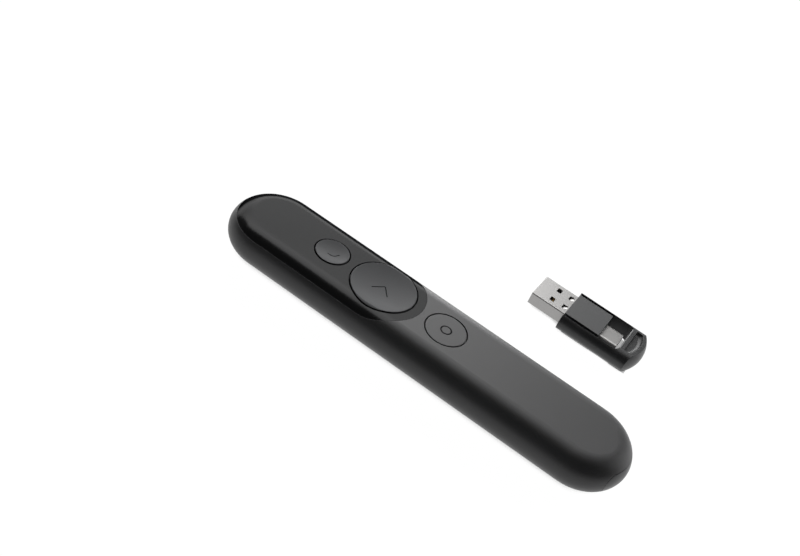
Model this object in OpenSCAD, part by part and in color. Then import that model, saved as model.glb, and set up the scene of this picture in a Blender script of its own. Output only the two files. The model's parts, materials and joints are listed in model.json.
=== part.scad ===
// Wireless presentation clicker with its two-ended USB receiver, which docks in the tail.
// Frame: origin at the middle of the flat underside, +X towards the tail, +Z up. Millimetres.
// The receiver is drawn twice from the same modules: docked in the tail, and lying beside the clicker.

/* [Body] */
// Overall length of the clicker
body_l = 141; // [136:0.5:150]
// Width of the clicker
body_w = 30.3; // [29.9:0.1:31.5]
// Height of the clicker, also the diameter of its full-round edges
body_t = 13; // [13:0.1:13.5]
// Wall thickness of the housing
wall = 1.3; // [1.2:0.05:1.4]

/* [Buttons] */
// Centre of the large next button along the body
next_x = -17.3; // [-18:0.1:-17]
// Diameter of the next button
next_d = 20.9; // [20:0.1:21]
// Distance from the next button to the back button
back_step = 19.05; // [18.8:0.05:19.5]
// Diameter of the back button
back_d = 10.8; // [9:0.1:11]
// Distance from the next button to the pointer button
pointer_step = 22.6; // [22.4:0.1:24]
// Diameter of the pointer button
pointer_d = 12.9; // [11:0.1:13]
// Gap round each button
key_gap = 0.38; // [0.25:0.01:0.4]
// How far the dished buttons stand above the panel
key_rise = 0.2; // [0:0.05:0.3]
// Depth of the finger dish in the next button
next_dish = 0.9; // [0.4:0.1:1]
// Depth of the finger dish in the back button
back_dish = 0.5; // [0.2:0.1:0.7]
// Travel of each button
key_travel = 0.3; // [0.2:0.05:0.35]

/* [Receiver] */
// Width of the receiver
rx_w = 18.8; // [18.6:0.1:19]
// Thickness of the receiver
rx_t = 7; // [6.9:0.1:7.1]
// Length from the tip of the USB-A plug to the rounded end
rx_l = 40.2; // [40:0.1:40.6]
// Clearance between the receiver and its dock
dock_gap = 0.15; // [0.1:0.01:0.2]
// Tip of the loose receiver's USB-A plug, along the clicker
loose_x = 14.95; // [0:0.05:30]
// Middle of the loose receiver, across the clicker
loose_y = 53.6; // [35:0.1:90]

/* [Hidden] */
$fn = 96;
far = 100;                              // longer than any cut needs to be
fit = 0.05;                             // clearance between pieces that seat on each other
air = 0.02;                             // gap between pieces that touch

edge_r = body_t / 2;                    // radius of the full-round edge
mid_z = body_t / 2;
arc_x = body_l / 2 - body_w / 2;        // centres of the round ends, in plan
half_w = body_w / 2;
flat_hw = half_w - edge_r;              // half width of the flat top and underside
roof_z = body_t - wall;                 // underside of the housing's top wall

back_x = next_x - back_step;
pointer_x = next_x + pointer_step;

// head panel: a pill concentric with the nose and with the next button
panel_r = 13.55;
panel_gap = 0.05;
panel_foot_z = 9.4;                     // lowest edge of the panel's rim
panel_under_z = 11.2;                   // underside of the panel inside its rim
panel_well_r = 12;                      // inside of the rim
shelf_r = 11.9;                         // opening in the housing under the panel
shelf_t = 0.95;

// bottom cover: a pill from the nose to the dock
cover_r = 12;
cover_x = 16;                           // centre of its tail arc
cover_top_z = 1.9;
cover_floor = 1.2;
opening_r = 11;                         // housing opening above the cover

// buttons
flange_t = 0.7;
flange_over = 0.95;                     // how far a flange reaches past its cap
cap_t = 1.1;                            // thickness of a cap's crown
cap_wall = 1.2;
post_r = 1.6;
rib_t = 0.8;
rim_r = 0.2;                            // rounding of a button's rim
board_top_z = 7.4;
board_t = 0.8;
board_r = 10.5;
switch_w = 4.5;
switch_h = 1.5;
switch_top_z = board_top_z + switch_h;
plunger_r = 1;
plunger_top_z = switch_top_z + 0.45;
plunger_foot_z = switch_top_z - 0.65;
dome_floor_z = plunger_foot_z - key_travel - 0.1;
dome_h = key_travel + 0.06;

// screws
screw_r = 0.75;
pilot_r = 0.78;
boss_r = 1.8;
screw_head_r = 1.45;
nose_screws = [[-53, -9.2], [-53, 9.2]];          // cover to the side bosses at the nose
tail_screws = [[24.5, -5], [24.5, 5]];            // cover to the tall bosses by the dock
cover_screw_places = concat(nose_screws, tail_screws);
frame_screw_places = [[-47.5, -8.9], [-47.5, 8.9], [11.2, -9.2], [11.2, 9.2]];

// battery
cell_l = 50;
cell_w = 16;
cell_z = 1.35;
cell_t = 4.3;
cell_x0 = -43;
lead_r = 0.45;
lead_run = 3;

// mid frame, between the cell and the board
frame_z = 5.75;
frame_t = 0.8;
frame_r = 10.9;
frame_x0 = -50.5;
frame_x1 = 22.2;

// laser module
laser_r = 3;
laser_x0 = -67;
laser_x1 = -58;
saddle_w = 6.4;
saddle_z = 3;
window_r = 2.1;

// charging port, in the far side
port_x = 18.5;
port_w = 8.94;
port_h = 3.26;
port_y0 = 6.9;
port_y1 = 14.2;

// receiver, drawn with its USB-A tip at the origin and its middle plane at z = 0
rx_hw = rx_w / 2;
rx_ht = rx_t / 2;
usb_a_w = 12;
usb_a_t = 4.5;
usb_a_wall = 0.3;
latch_y = 2.95;
rear_window_y = 2.83;
usb_a_r = 0.4;                          // corner radius of the USB-A shell
usb_c_w = 8.25;
usb_c_t = 2.4;
core_x0 = 12.4;
core_x1 = 25.1;
core_hw = 6.45;
core_ht = 3.05;
cap_x0 = 12.3;
window_hw = 7.5;
window_x1 = 32.65;
pivot_x = 15.8;
pin_r = 0.8;
usb_c_tip = 31.5;

// dock
sleeve_wall = 0.8;
sleeve_hw = rx_hw + dock_gap + sleeve_wall;
sleeve_ht = rx_ht + dock_gap + sleeve_wall;
dock_tip_x = body_l / 2 - rx_l;         // where the docked USB-A tip comes to
sleeve_x0 = dock_tip_x - 1.6;
magnet_r = 2.4;
magnet_t = 1.2;

// ---------- shared shapes ----------

// The clicker's outer form, shrunk by inset: a stadium in plan with a full-round edge
module body_form(inset = 0) {
    r = edge_r - inset;
    translate([0, 0, mid_z]) {
        rotate([90, 0, 90]) linear_extrude(2 * arc_x, center = true) {
            square([2 * flat_hw, 2 * r], center = true);
            for (side = [-1, 1]) translate([side * flat_hw, 0]) circle(r);
        }
        for (end = [-1, 1]) translate([end * arc_x, 0, 0]) rotate_extrude() {
            translate([0, -r]) square([flat_hw, 2 * r]);
            translate([flat_hw, 0]) circle(r);
        }
    }
}

// Upright pill from x0 to x1 (arc centres) with radius r
module pill(x0, x1, r, z0, z1) {
    translate([0, 0, z0]) linear_extrude(z1 - z0) {
        translate([x0, -r]) square([x1 - x0, 2 * r]);
        for (x = [x0, x1]) translate([x, 0]) circle(r);
    }
}

// Bar along X with a stadium section
module stadium_bar(x0, x1, hw, ht) {
    translate([x0, 0, 0]) rotate([90, 0, 90]) linear_extrude(x1 - x0) {
        square([2 * (hw - ht), 2 * ht], center = true);
        for (side = [-1, 1]) translate([side * (hw - ht), 0]) circle(ht);
    }
}

// Bar along X with a rounded rectangular section
module rounded_bar(x0, x1, w, t, r) {
    translate([x0, 0, 0]) rotate([90, 0, 90]) linear_extrude(x1 - x0) {
        square([w - 2 * r, t], center = true);
        square([w, t - 2 * r], center = true);
        for (sy = [-1, 1], sz = [-1, 1]) translate([sy * (w / 2 - r), sz * (t / 2 - r)]) circle(r);
    }
}

// Box given by its middle in Y and its limits in X and Z
module block(x0, x1, w, z0, z1, y = 0) {
    translate([x0, y - w / 2, z0]) cube([x1 - x0, w, z1 - z0]);
}

// Screw with a flat head, its head's outer face at z = 0 and its shank upwards
module screw(length) {
    cylinder(r = screw_head_r, h = 0.6);
    cylinder(r = screw_r, h = length);
    translate([0, 0, length]) cylinder(r1 = screw_r, r2 = 0.3, h = 0.4);
}

// ---------- clicker, fixed pieces ----------

module cover_bosses() {
    for (p = nose_screws) {
        translate([p[0], p[1], cover_top_z + fit]) cylinder(r = boss_r, h = 4.6);
        block(p[0] - 0.5, p[0] + 0.5, 4, cover_top_z + fit + 0.3, 6.4, p[1] + sign(p[1]) * 2.6);
    }
    for (p = tail_screws) translate([p[0], p[1], cover_top_z + fit]) cylinder(r = boss_r, h = roof_z - cover_top_z);
}

module frame_bosses() {
    for (p = frame_screw_places) {
        translate([p[0], p[1], board_top_z + fit]) cylinder(r = boss_r, h = roof_z - board_top_z);
        block(p[0] - 0.5, p[0] + 0.5, 4, board_top_z + 0.6, roof_z, p[1] + sign(p[1]) * 2.6);
    }
}

module housing() {
    color("#5b5c5e") difference() {
        union() {
            difference() {
                body_form();
                body_form(wall);
            }
            intersection() {
                body_form(wall / 2);
                difference() {
                    pill(-arc_x, next_x, panel_r + 1.2, panel_foot_z - shelf_t, panel_foot_z);
                    pill(-arc_x, next_x, shelf_r, 0, body_t);
                }
            }
            intersection() {
                body_form(wall / 2);
                union() {
                    cover_bosses();
                    frame_bosses();
                }
            }
        }
        // seat and opening for the head panel
        pill(-arc_x, next_x, panel_r + panel_gap, panel_foot_z - fit, body_t + 1);
        // seat and opening for the bottom cover
        pill(-arc_x, cover_x, cover_r + panel_gap, -1, cover_top_z + fit);
        // pointer button
        translate([pointer_x, 0, mid_z]) cylinder(r = pointer_d / 2 + key_gap, h = far);
        // mouth of the dock
        translate([0, 0, mid_z]) stadium_bar(arc_x, far, rx_hw + dock_gap, rx_ht + dock_gap);
        // thumb notch under the mouth
        translate([66, 0, -1]) cylinder(r = 5.6, h = mid_z);
        // laser window
        translate([-far, 0, mid_z]) rotate([0, 90, 0]) cylinder(r = window_r + fit, h = far - arc_x);
        // charging port
        translate([port_x, 0, mid_z]) rotate([0, 0, 90]) stadium_bar(9, far, port_w / 2 + 0.35, port_h / 2 + 0.35);
        // pilot holes
        for (p = cover_screw_places) translate([p[0], p[1], 0]) cylinder(r = pilot_r, h = 5.9);
        for (p = frame_screw_places) translate([p[0], p[1], 0]) cylinder(r = pilot_r, h = 10.4);
    }
}

module head_panel() {
    color("#4a4a4c") difference() {
        intersection() {
            body_form();
            pill(-arc_x, next_x, panel_r, panel_foot_z, body_t + 1);
        }
        pill(-arc_x, next_x, panel_well_r, 0, panel_under_z);
        translate([next_x, 0, 0]) cylinder(r = next_d / 2 + key_gap, h = far);
        translate([back_x, 0, 0]) cylinder(r = back_d / 2 + key_gap, h = far);
    }
}

module bottom_cover() {
    color("#4c4d4f") difference() {
        union() {
            intersection() {
                body_form();
                pill(-arc_x, cover_x, cover_r, -1, cover_top_z);
            }
            for (p = cover_screw_places) translate([p[0], p[1], 0.5]) cylinder(r = boss_r + 0.3, h = cover_top_z - 0.5);
        }
        difference() {
            pill(-arc_x, cover_x, opening_r - 0.6, cover_floor, far);
            for (p = cover_screw_places) translate([p[0], p[1], 0]) cylinder(r = boss_r + 0.3, h = far);
        }
        for (p = cover_screw_places) translate([p[0], p[1], -1]) {
            cylinder(r = pilot_r + 0.1, h = far);
            cylinder(r = screw_head_r + 0.1, h = 1.9);
        }
    }
}

module cover_screws() {
    color("#8c8f93") for (p = cover_screw_places) translate([p[0], p[1], 0.3]) screw(4.9);
}

// Room round the cover's bosses, cut from what lies between the cover and the roof
module boss_clearance() {
    for (p = cover_screw_places) translate([p[0], p[1], 0]) cylinder(r = boss_r + 0.3, h = far);
    for (p = nose_screws) block(p[0] - 0.8, p[0] + 0.8, 4, 0, far, p[1] + sign(p[1]) * 2.6);
}

module mid_frame() {
    color("#2f3033") difference() {
        union() {
            // plate
            intersection() {
                pill(frame_x0, cover_x, frame_r, frame_z, frame_z + frame_t);
                block(frame_x0, frame_x1, far, 0, far);
            }
            // fences beside the cell
            for (side = [-1, 1])
                block(cell_x0, cell_x0 + cell_l, 0.9, cover_floor + fit, frame_z + 0.1, side * 8.6);
            // tongue with the saddle under the laser and the stop behind it
            block(laser_x1 + 2, frame_x0 + 1, 12, frame_z, frame_z + frame_t);
            block(laser_x0 + 0.8, laser_x1 + 3, saddle_w, saddle_z, saddle_z + 2.2);
            block(laser_x1 - 0.3, laser_x1 + 3.7, saddle_w, saddle_z, frame_z + frame_t);
        }
        // lightening windows
        for (x = [-38, -16]) block(x, x + 17, 11, 0, far);
        translate([-far, 0, mid_z]) rotate([0, 90, 0]) cylinder(r = laser_r + fit, h = far + laser_x1 + air);
        for (p = frame_screw_places) translate([p[0], p[1], 0]) cylinder(r = pilot_r + 0.1, h = far);
        // room for the leads and the charging port
        block(cell_x0 + cell_l + 1.8, cell_x0 + cell_l + 3.6, 5, 0, far);
        block(port_x - 5.2, port_x + 5.2, 10, 0, far, 11.4);
    }
}

module frame_screws() {
    color("#8c8f93") for (p = frame_screw_places) translate([p[0], p[1], frame_z - 0.65]) screw(4.6);
}

module circuit_board() {
    color("#1f4d33") difference() {
        intersection() {
            pill(-arc_x, cover_x, board_r, board_top_z - board_t, board_top_z);
            block(-54, 27.5, far, 0, far);
        }
        for (p = frame_screw_places) translate([p[0], p[1], 0]) cylinder(r = pilot_r + 0.1, h = far);
        block(port_x - port_w / 2 - 0.1, port_x + port_w / 2 + 0.1, 8, 0, far, port_y0 + 3.9);
        boss_clearance();
    }
}

module chip(x, y, w, d, h) {
    translate([x - w / 2, y - d / 2, board_top_z + air]) cube([w, d, h]);
}

module radio_chip() {
    color("#1b1b1d") chip(-4.2, 6.8, 5, 5, 0.85);
}

module charge_chip() {
    color("#1b1b1d") chip(11, -5.6, 3, 3, 0.75);
}

module motion_chip() {
    color("#1b1b1d") chip(-4.2, -6.8, 3, 2.5, 0.83);
}

module crystal() {
    color("#c9ccd0") chip(-0.2, 8.6, 2.5, 2, 0.6);
}

module battery_cell() {
    color("#b9bcc2") difference() {
        translate([0, 0, cell_z + cell_t / 2])
            rounded_bar(cell_x0 + 0.3, cell_x0 + cell_l - 0.3, cell_w, cell_t, 1.2);
        // step of the folded pouch seal at the terminal end
        block(cell_x0 + cell_l - 3, far, far, cell_z + 2.9, far);
    }
}

module battery_leads() {
    lead_x = cell_x0 + cell_l - 0.3;
    for (side = [-1, 1]) color(side > 0 ? "#b02a2a" : "#1a1a1a") translate([lead_x, side * 1.6, 3]) {
        rotate([0, 90, 0]) cylinder(r = lead_r, h = lead_run);
        translate([lead_run, 0, 0]) sphere(lead_r);
        translate([lead_run, 0, 0]) cylinder(r = lead_r, h = board_top_z - board_t - 3.02);
    }
}

module charge_port_shell() {
    color("#b9bcc0") translate([port_x, 0, mid_z]) rotate([0, 0, 90]) difference() {
        stadium_bar(port_y0, port_y1, port_w / 2, port_h / 2);
        stadium_bar(port_y0 + 0.8, far, port_w / 2 - 0.3, port_h / 2 - 0.3);
    }
}

module charge_port_tongue() {
    color("#202123") translate([port_x, 0, mid_z]) rotate([0, 0, 90]) {
        stadium_bar(port_y0 + 0.82, port_y0 + 2.2, port_w / 2 - 0.32, port_h / 2 - 0.32);
        block(port_y0 + 2.2, port_y1 - 0.9, 6.69, -0.35, 0.35);
    }
}

module laser_barrel() {
    color("#b08d45") translate([laser_x0, 0, mid_z]) rotate([0, 90, 0]) difference() {
        cylinder(r = laser_r, h = laser_x1 - laser_x0);
        translate([0, 0, -1]) cylinder(r = 2, h = 3.2);
        translate([0, 0, -1]) cylinder(r = 1.2, h = 5);
    }
}

module laser_lens() {
    color("#cfe3ea") translate([laser_x0 + 0.75, 0, mid_z]) rotate([0, 90, 0]) intersection() {
        cylinder(r = 1.97, h = 1.4);
        translate([0, 0, 3.4]) sphere(3.6);
    }
}

module laser_leads() {
    color("#c79a3a") for (side = [-1, 1]) translate([laser_x1, side * 1.1, board_top_z + 0.32])
        rotate([0, 90, 0]) cylinder(r = 0.28, h = 6);
}

module laser_window() {
    color("#3a0d10") intersection() {
        difference() {
            body_form();
            body_form(1);
        }
        translate([-far, 0, mid_z]) rotate([0, 90, 0]) cylinder(r = window_r, h = far - arc_x);
    }
}

// ---------- buttons and their switches ----------

module switch_body(x) {
    translate([x, 0, 0]) difference() {
        block(-switch_w / 2, switch_w / 2, switch_w, board_top_z + air, switch_top_z);
        translate([0, 0, dome_floor_z]) cylinder(r = plunger_r + fit, h = far);
    }
}

module snap_dome(x) {
    dome_sphere_r = 1.7;
    dome_sheet = 0.08;
    translate([x, 0, dome_floor_z + air]) intersection() {
        translate([0, 0, dome_h - dome_sphere_r]) difference() {
            sphere(dome_sphere_r);
            sphere(dome_sphere_r - dome_sheet);
        }
        cylinder(r = plunger_r, h = 1);
    }
}

module plunger(x) {
    translate([x, 0, plunger_foot_z]) cylinder(r = plunger_r, h = plunger_top_z - plunger_foot_z);
}

// Disc with a rounded upper rim
module rimmed_disc(r, z0, z1) {
    translate([0, 0, z0]) rotate_extrude() {
        square([r, z1 - z0 - rim_r]);
        square([r - rim_r, z1 - z0]);
        translate([r - rim_r, z1 - z0 - rim_r]) circle(rim_r);
    }
}

// Cap that follows the clicker's own outer form, with a finger dish, a retaining flange and a post
module key_cap(x, d, rise, dish, under_z) {
    top_z = body_t + rise;
    flange_top_z = under_z - 0.03;
    flange_z = flange_top_z - flange_t;
    crown_z = top_z - dish - cap_t;
    dish_r = d / 2 - rim_r - 0.1;
    difference() {
        union() {
            intersection() {
                body_form(-rise);
                translate([x, 0, 0]) rimmed_disc(d / 2, flange_top_z - 0.1, top_z);
            }
            translate([x, 0, flange_z]) cylinder(r = d / 2 + flange_over, h = flange_t);
        }
        if (dish > 0) {
            sphere_r = (dish_r * dish_r + dish * dish) / (2 * dish);
            translate([x, 0, top_z - dish + sphere_r]) sphere(sphere_r, $fn = 256);
        }
        // hollow under the crown
        translate([x, 0, 0]) cylinder(r = d / 2 - cap_wall, h = crown_z);
    }
    // post down to the switch
    translate([x, 0, plunger_top_z + air]) cylinder(r = post_r, h = crown_z - plunger_top_z);
    // stiffening ribs
    for (a = [0, 90]) translate([x, 0, 0]) rotate([0, 0, a])
        block(-d / 2 + cap_wall - 0.3, d / 2 - cap_wall + 0.3, rib_t, flange_z, crown_z + 0.1);
}

module back_switch() {
    color("#1c1c1e") switch_body(back_x);
}

module next_switch() {
    color("#1c1c1e") switch_body(next_x);
}

module pointer_switch() {
    color("#1c1c1e") switch_body(pointer_x);
}

module back_dome() {
    color("#c4c6c9") snap_dome(back_x);
}

module next_dome() {
    color("#c4c6c9") snap_dome(next_x);
}

module pointer_dome() {
    color("#c4c6c9") snap_dome(pointer_x);
}

module back_plunger() {
    color("#e4e2da") plunger(back_x);
}

module next_plunger() {
    color("#e4e2da") plunger(next_x);
}

module pointer_plunger() {
    color("#e4e2da") plunger(pointer_x);
}

module back_button() {
    color("#606164") key_cap(back_x, back_d, key_rise, back_dish, panel_under_z);
}

module next_button() {
    color("#606164") key_cap(next_x, next_d, key_rise, next_dish, panel_under_z);
}

module pointer_button() {
    color("#6c6d6f") key_cap(pointer_x, pointer_d, 0, 0, roof_z);
}

// ---------- dock ----------

module dock_sleeve() {
    color("#303134") difference() {
        intersection() {
            body_form(wall + fit);
            union() {
                translate([0, 0, mid_z]) stadium_bar(sleeve_x0, far, sleeve_hw, sleeve_ht);
                // locating ribs
                for (x = [sleeve_x0, 46]) translate([0, 0, mid_z]) block(x, x + 1.2, 21, -far, far);
            }
        }
        translate([0, 0, mid_z]) stadium_bar(dock_tip_x - 0.4, far, rx_hw + dock_gap, rx_ht + dock_gap);
        translate([sleeve_x0 - 0.5, 0, mid_z]) rotate([0, 90, 0]) cylinder(r = magnet_r + 0.03, h = 0.5 + magnet_t);
        translate([66, 0, -1]) cylinder(r = 5.6, h = mid_z);
    }
}

module dock_magnet() {
    color("#a9acb0") translate([sleeve_x0, 0, mid_z]) rotate([0, 90, 0]) cylinder(r = magnet_r, h = magnet_t - 0.02);
}

// ---------- receiver, in its own frame ----------

module usb_a_shell() {
    color("#c8cacc") {
        difference() {
            rounded_bar(0, 17.4, usb_a_w, usb_a_t, usb_a_r);
            rounded_bar(-1, 18, usb_a_w - 2 * usb_a_wall, usb_a_t - 2 * usb_a_wall, 0.2);
            // latch windows, front pair
            for (side = [-1, 1]) block(5.5, 7.15, 2.15, -far, far, side * latch_y);
            // windows of the rear pair of spring leaves
            for (side = [-1, 1]) block(10.15, 11.9, 2.1, -far, far, side * rear_window_y);
        }
        // leaves bent down into the upper rear windows
        for (side = [-1, 1]) translate([11.9, side * rear_window_y, usb_a_t / 2 - 0.04]) rotate([0, -20, 0])
            translate([-1.3, -0.65, -usb_a_wall]) cube([1.4, 1.3, usb_a_wall]);
    }
}

module usb_a_tongue() {
    color("#1d1d1f") intersection() {
        union() {
            block(0.7, 17.3, usb_a_w, -usb_a_t, -0.1);
            block(12.6, 17.3, usb_a_w, -0.2, usb_a_t);
        }
        rounded_bar(0, 18, usb_a_w - 2 * usb_a_wall - 0.04, usb_a_t - 2 * usb_a_wall - 0.04, 0.2);
    }
}

module usb_a_contacts() {
    color("#d3a94c") for (side = [-1, 1]) {
        block(1.6, 9, 1, -0.08, 0.12, side * 3.5);
        block(2.6, 9, 1, -0.08, 0.12, side * 1.0);
    }
}

module rx_core() {
    color("#636466") difference() {
        rounded_bar(core_x0, core_x1, 2 * core_hw, 2 * core_ht, 0.15);
        rounded_bar(core_x0 - 1, 17.45, usb_a_w + 0.04, usb_a_t + 0.04, usb_a_r + 0.02);
        block(17.4, 23.3, 10.6, -2.4, 2.4);
        stadium_bar(23, core_x1 + 1, usb_c_w / 2 + 0.02, usb_c_t / 2 + 0.02);
        for (side = [-1, 1]) translate([pivot_x, side * (core_hw + 1), 0]) rotate([side * 90, 0, 0])
            cylinder(r = pin_r + 0.01, h = 1.5);
    }
}

module rx_board() {
    color("#1f4d33") block(17.5, 23.2, 10.2, -0.45, 0.45);
    color("#1b1b1d") block(18.4, 22.4, 4, 0.45, 1.3);
}

module usb_c_shell() {
    color("#b4b6b9") difference() {
        stadium_bar(23.3, usb_c_tip, usb_c_w / 2, usb_c_t / 2);
        stadium_bar(23, usb_c_tip + 1, usb_c_w / 2 - 0.25, usb_c_t / 2 - 0.25);
    }
}

module usb_c_insert() {
    color("#1d1d1f") difference() {
        stadium_bar(23.4, usb_c_tip - 0.3, usb_c_w / 2 - 0.27, usb_c_t / 2 - 0.27);
        rounded_bar(25.6, far, 6.3, 0.9, 0.2);
    }
}

module pivot_pins() {
    color("#8c8f93") for (side = [-1, 1]) translate([pivot_x, side * (core_hw - 0.25), 0])
        rotate([-side * 90, 0, 0]) cylinder(r = pin_r, h = 2.4);
}

// Thumb nick: straight towards the plugs, concentric with the rounded end, its floor curving up into its walls
module thumb_nick() {
    nick_x0 = 34.35;
    nick_r = 12.9;
    nick_hw = 6.15;
    nick_depth = 1.1;
    soft = 1.5;
    translate([0, 0, rx_ht - nick_depth]) intersection() {
        translate([rx_l - half_w, 0, 0]) rotate_extrude() {
            square([nick_r - soft, rx_t]);
            translate([0, soft]) square([nick_r, rx_t - soft]);
            translate([nick_r - soft, soft]) circle(soft);
        }
        translate([nick_x0, 0, 0]) rotate([90, 0, 90]) linear_extrude(10) {
            translate([soft - nick_hw, 0]) square([2 * (nick_hw - soft), rx_t]);
            translate([-nick_hw, soft]) square([2 * nick_hw, rx_t - soft]);
            for (side = [-1, 1]) translate([side * (nick_hw - soft), soft]) circle(soft);
        }
        block(0, far, far, 0, rx_t);
    }
}

module rx_cap() {
    corner_r = 1.2;
    ease = 0.3;
    lip_ease = 0.5;
    rail_z = sqrt(rx_ht * rx_ht - pow(window_hw - rx_hw + rx_ht, 2));
    color("#1e1f21") difference() {
        intersection() {
            stadium_bar(cap_x0, rx_l + 1, rx_hw, rx_ht);
            translate([rx_l - body_l / 2, 0, -mid_z]) body_form();
        }
        // window that the core and the USB-C plug sit in
        translate([0, 0, -rx_t]) linear_extrude(2 * rx_t) {
            translate([0, -window_hw]) square([window_x1 - corner_r, 2 * window_hw]);
            translate([0, -window_hw + corner_r]) square([window_x1, 2 * (window_hw - corner_r)]);
            for (side = [-1, 1]) translate([window_x1 - corner_r, side * (window_hw - corner_r)]) circle(corner_r);
        }
        // eased edges of the rails and of the bar along the window
        for (sy = [-1, 1], sz = [-1, 1]) translate([cap_x0, sy * window_hw, sz * rail_z])
            rotate([45, 0, 0]) cube([2 * (window_x1 - corner_r - cap_x0), ease, ease], center = true);
        for (sz = [-1, 1]) translate([window_x1, 0, sz * rx_ht])
            rotate([0, 45, 0]) cube([lip_ease, 2 * (window_hw - corner_r), lip_ease], center = true);
        thumb_nick();
        mirror([0, 0, 1]) thumb_nick();
        for (side = [-1, 1]) translate([pivot_x, side * (window_hw - 0.1), 0]) rotate([-side * 90, 0, 0])
            cylinder(r = pin_r + 0.05, h = 1.4);
    }
}

module at_dock() {
    translate([dock_tip_x, 0, mid_z]) children();
}

module at_table() {
    translate([loose_x, loose_y, rx_ht]) children();
}

module docked_usb_a_shell() {
    at_dock() usb_a_shell();
}

module docked_usb_a_tongue() {
    at_dock() usb_a_tongue();
}

module docked_usb_a_contacts() {
    at_dock() usb_a_contacts();
}

module docked_core() {
    at_dock() rx_core();
}

module docked_board() {
    at_dock() rx_board();
}

module docked_usb_c_shell() {
    at_dock() usb_c_shell();
}

module docked_usb_c_insert() {
    at_dock() usb_c_insert();
}

module docked_pivot_pins() {
    at_dock() pivot_pins();
}

module docked_cap() {
    at_dock() rx_cap();
}

module loose_usb_a_shell() {
    at_table() usb_a_shell();
}

module loose_usb_a_tongue() {
    at_table() usb_a_tongue();
}

module loose_usb_a_contacts() {
    at_table() usb_a_contacts();
}

module loose_core() {
    at_table() rx_core();
}

module loose_board() {
    at_table() rx_board();
}

module loose_usb_c_shell() {
    at_table() usb_c_shell();
}

module loose_usb_c_insert() {
    at_table() usb_c_insert();
}

module loose_pivot_pins() {
    at_table() pivot_pins();
}

module loose_cap() {
    at_table() rx_cap();
}

housing();
head_panel();
bottom_cover();
cover_screws();
mid_frame();
frame_screws();
circuit_board();
radio_chip();
charge_chip();
motion_chip();
crystal();
battery_cell();
battery_leads();
charge_port_shell();
charge_port_tongue();
laser_barrel();
laser_lens();
laser_leads();
laser_window();
back_switch();
next_switch();
pointer_switch();
back_dome();
next_dome();
pointer_dome();
back_plunger();
next_plunger();
pointer_plunger();
back_button();
next_button();
pointer_button();
dock_sleeve();
dock_magnet();
docked_usb_a_shell();
docked_usb_a_tongue();
docked_usb_a_contacts();
docked_core();
docked_board();
docked_usb_c_shell();
docked_usb_c_insert();
docked_pivot_pins();
docked_cap();
loose_usb_a_shell();
loose_usb_a_tongue();
loose_usb_a_contacts();
loose_core();
loose_board();
loose_usb_c_shell();
loose_usb_c_insert();
loose_pivot_pins();
loose_cap();
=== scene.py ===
"""Wireless presentation clicker with its two-ended receiver: finishes, printed marks, fasteners and stage.

The shells come from the CAD frame. This script gives each of them its real finish, prints the marks on the
keys, makes the screws with their threads and the snap domes, and sets up a plain product stage.
"""
import json
import math

import bmesh
import bpy
from mathutils import Matrix, Vector


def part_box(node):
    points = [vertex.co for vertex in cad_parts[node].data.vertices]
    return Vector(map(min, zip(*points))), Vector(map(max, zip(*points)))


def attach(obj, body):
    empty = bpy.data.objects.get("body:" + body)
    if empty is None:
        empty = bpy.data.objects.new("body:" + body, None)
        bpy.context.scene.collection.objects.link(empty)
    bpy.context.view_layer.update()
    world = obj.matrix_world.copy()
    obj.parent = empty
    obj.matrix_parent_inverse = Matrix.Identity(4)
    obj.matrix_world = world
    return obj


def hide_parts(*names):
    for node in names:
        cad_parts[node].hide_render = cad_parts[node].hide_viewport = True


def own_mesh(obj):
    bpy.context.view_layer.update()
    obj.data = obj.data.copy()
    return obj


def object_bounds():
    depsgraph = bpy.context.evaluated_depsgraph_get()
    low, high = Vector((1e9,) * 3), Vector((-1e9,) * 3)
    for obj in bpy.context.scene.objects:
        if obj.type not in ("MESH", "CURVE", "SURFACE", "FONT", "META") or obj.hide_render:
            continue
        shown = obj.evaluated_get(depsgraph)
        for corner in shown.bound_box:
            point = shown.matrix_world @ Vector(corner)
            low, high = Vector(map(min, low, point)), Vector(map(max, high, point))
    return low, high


bl_info = {
    "name": "Presentation clicker",
    "version": (1, 0, 0),
    "blender": (4, 5, 0),
    "location": "3D View > Sidebar > Clicker",
    "description": "Finishes a wireless presentation clicker and its receiver",
    "category": "Object",
}

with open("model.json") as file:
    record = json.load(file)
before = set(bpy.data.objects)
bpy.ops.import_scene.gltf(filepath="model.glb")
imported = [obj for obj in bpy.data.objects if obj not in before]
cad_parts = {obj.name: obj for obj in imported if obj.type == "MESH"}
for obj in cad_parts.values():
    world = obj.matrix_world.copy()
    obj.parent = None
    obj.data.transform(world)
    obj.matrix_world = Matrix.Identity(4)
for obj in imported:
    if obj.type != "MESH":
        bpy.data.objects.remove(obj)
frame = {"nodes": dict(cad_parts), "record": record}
CAD_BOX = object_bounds()
MM = 0.001
# a height over every key, from which the marks are dropped onto them
ABOVE = 25 * MM


# ---------- small helpers ----------

def linear(hex_colour):
    """Turns an sRGB colour such as "2b2c2e" into linear RGBA."""
    channels = [int(hex_colour[i:i + 2], 16) / 255 for i in (0, 2, 4)]
    return [c / 12.92 if c <= 0.04045 else ((c + 0.055) / 1.055) ** 2.4 for c in channels] + [1.0]


def scaled(colour, share):
    """The same colour, lighter or darker."""
    return [c * share for c in colour[:3]] + [1.0]


def add_node(tree, kind, inputs=None, **settings):
    """Adds a node, sets its properties, and fills its inputs with values or links from sockets."""
    made = tree.nodes.new(kind)
    for name, value in settings.items():
        setattr(made, name, value)
    for key, value in (inputs or {}).items():
        if isinstance(value, bpy.types.NodeSocket):
            tree.links.new(value, made.inputs[key])
        else:
            made.inputs[key].default_value = value
    return made


# ---------- what a user would change ----------

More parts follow.
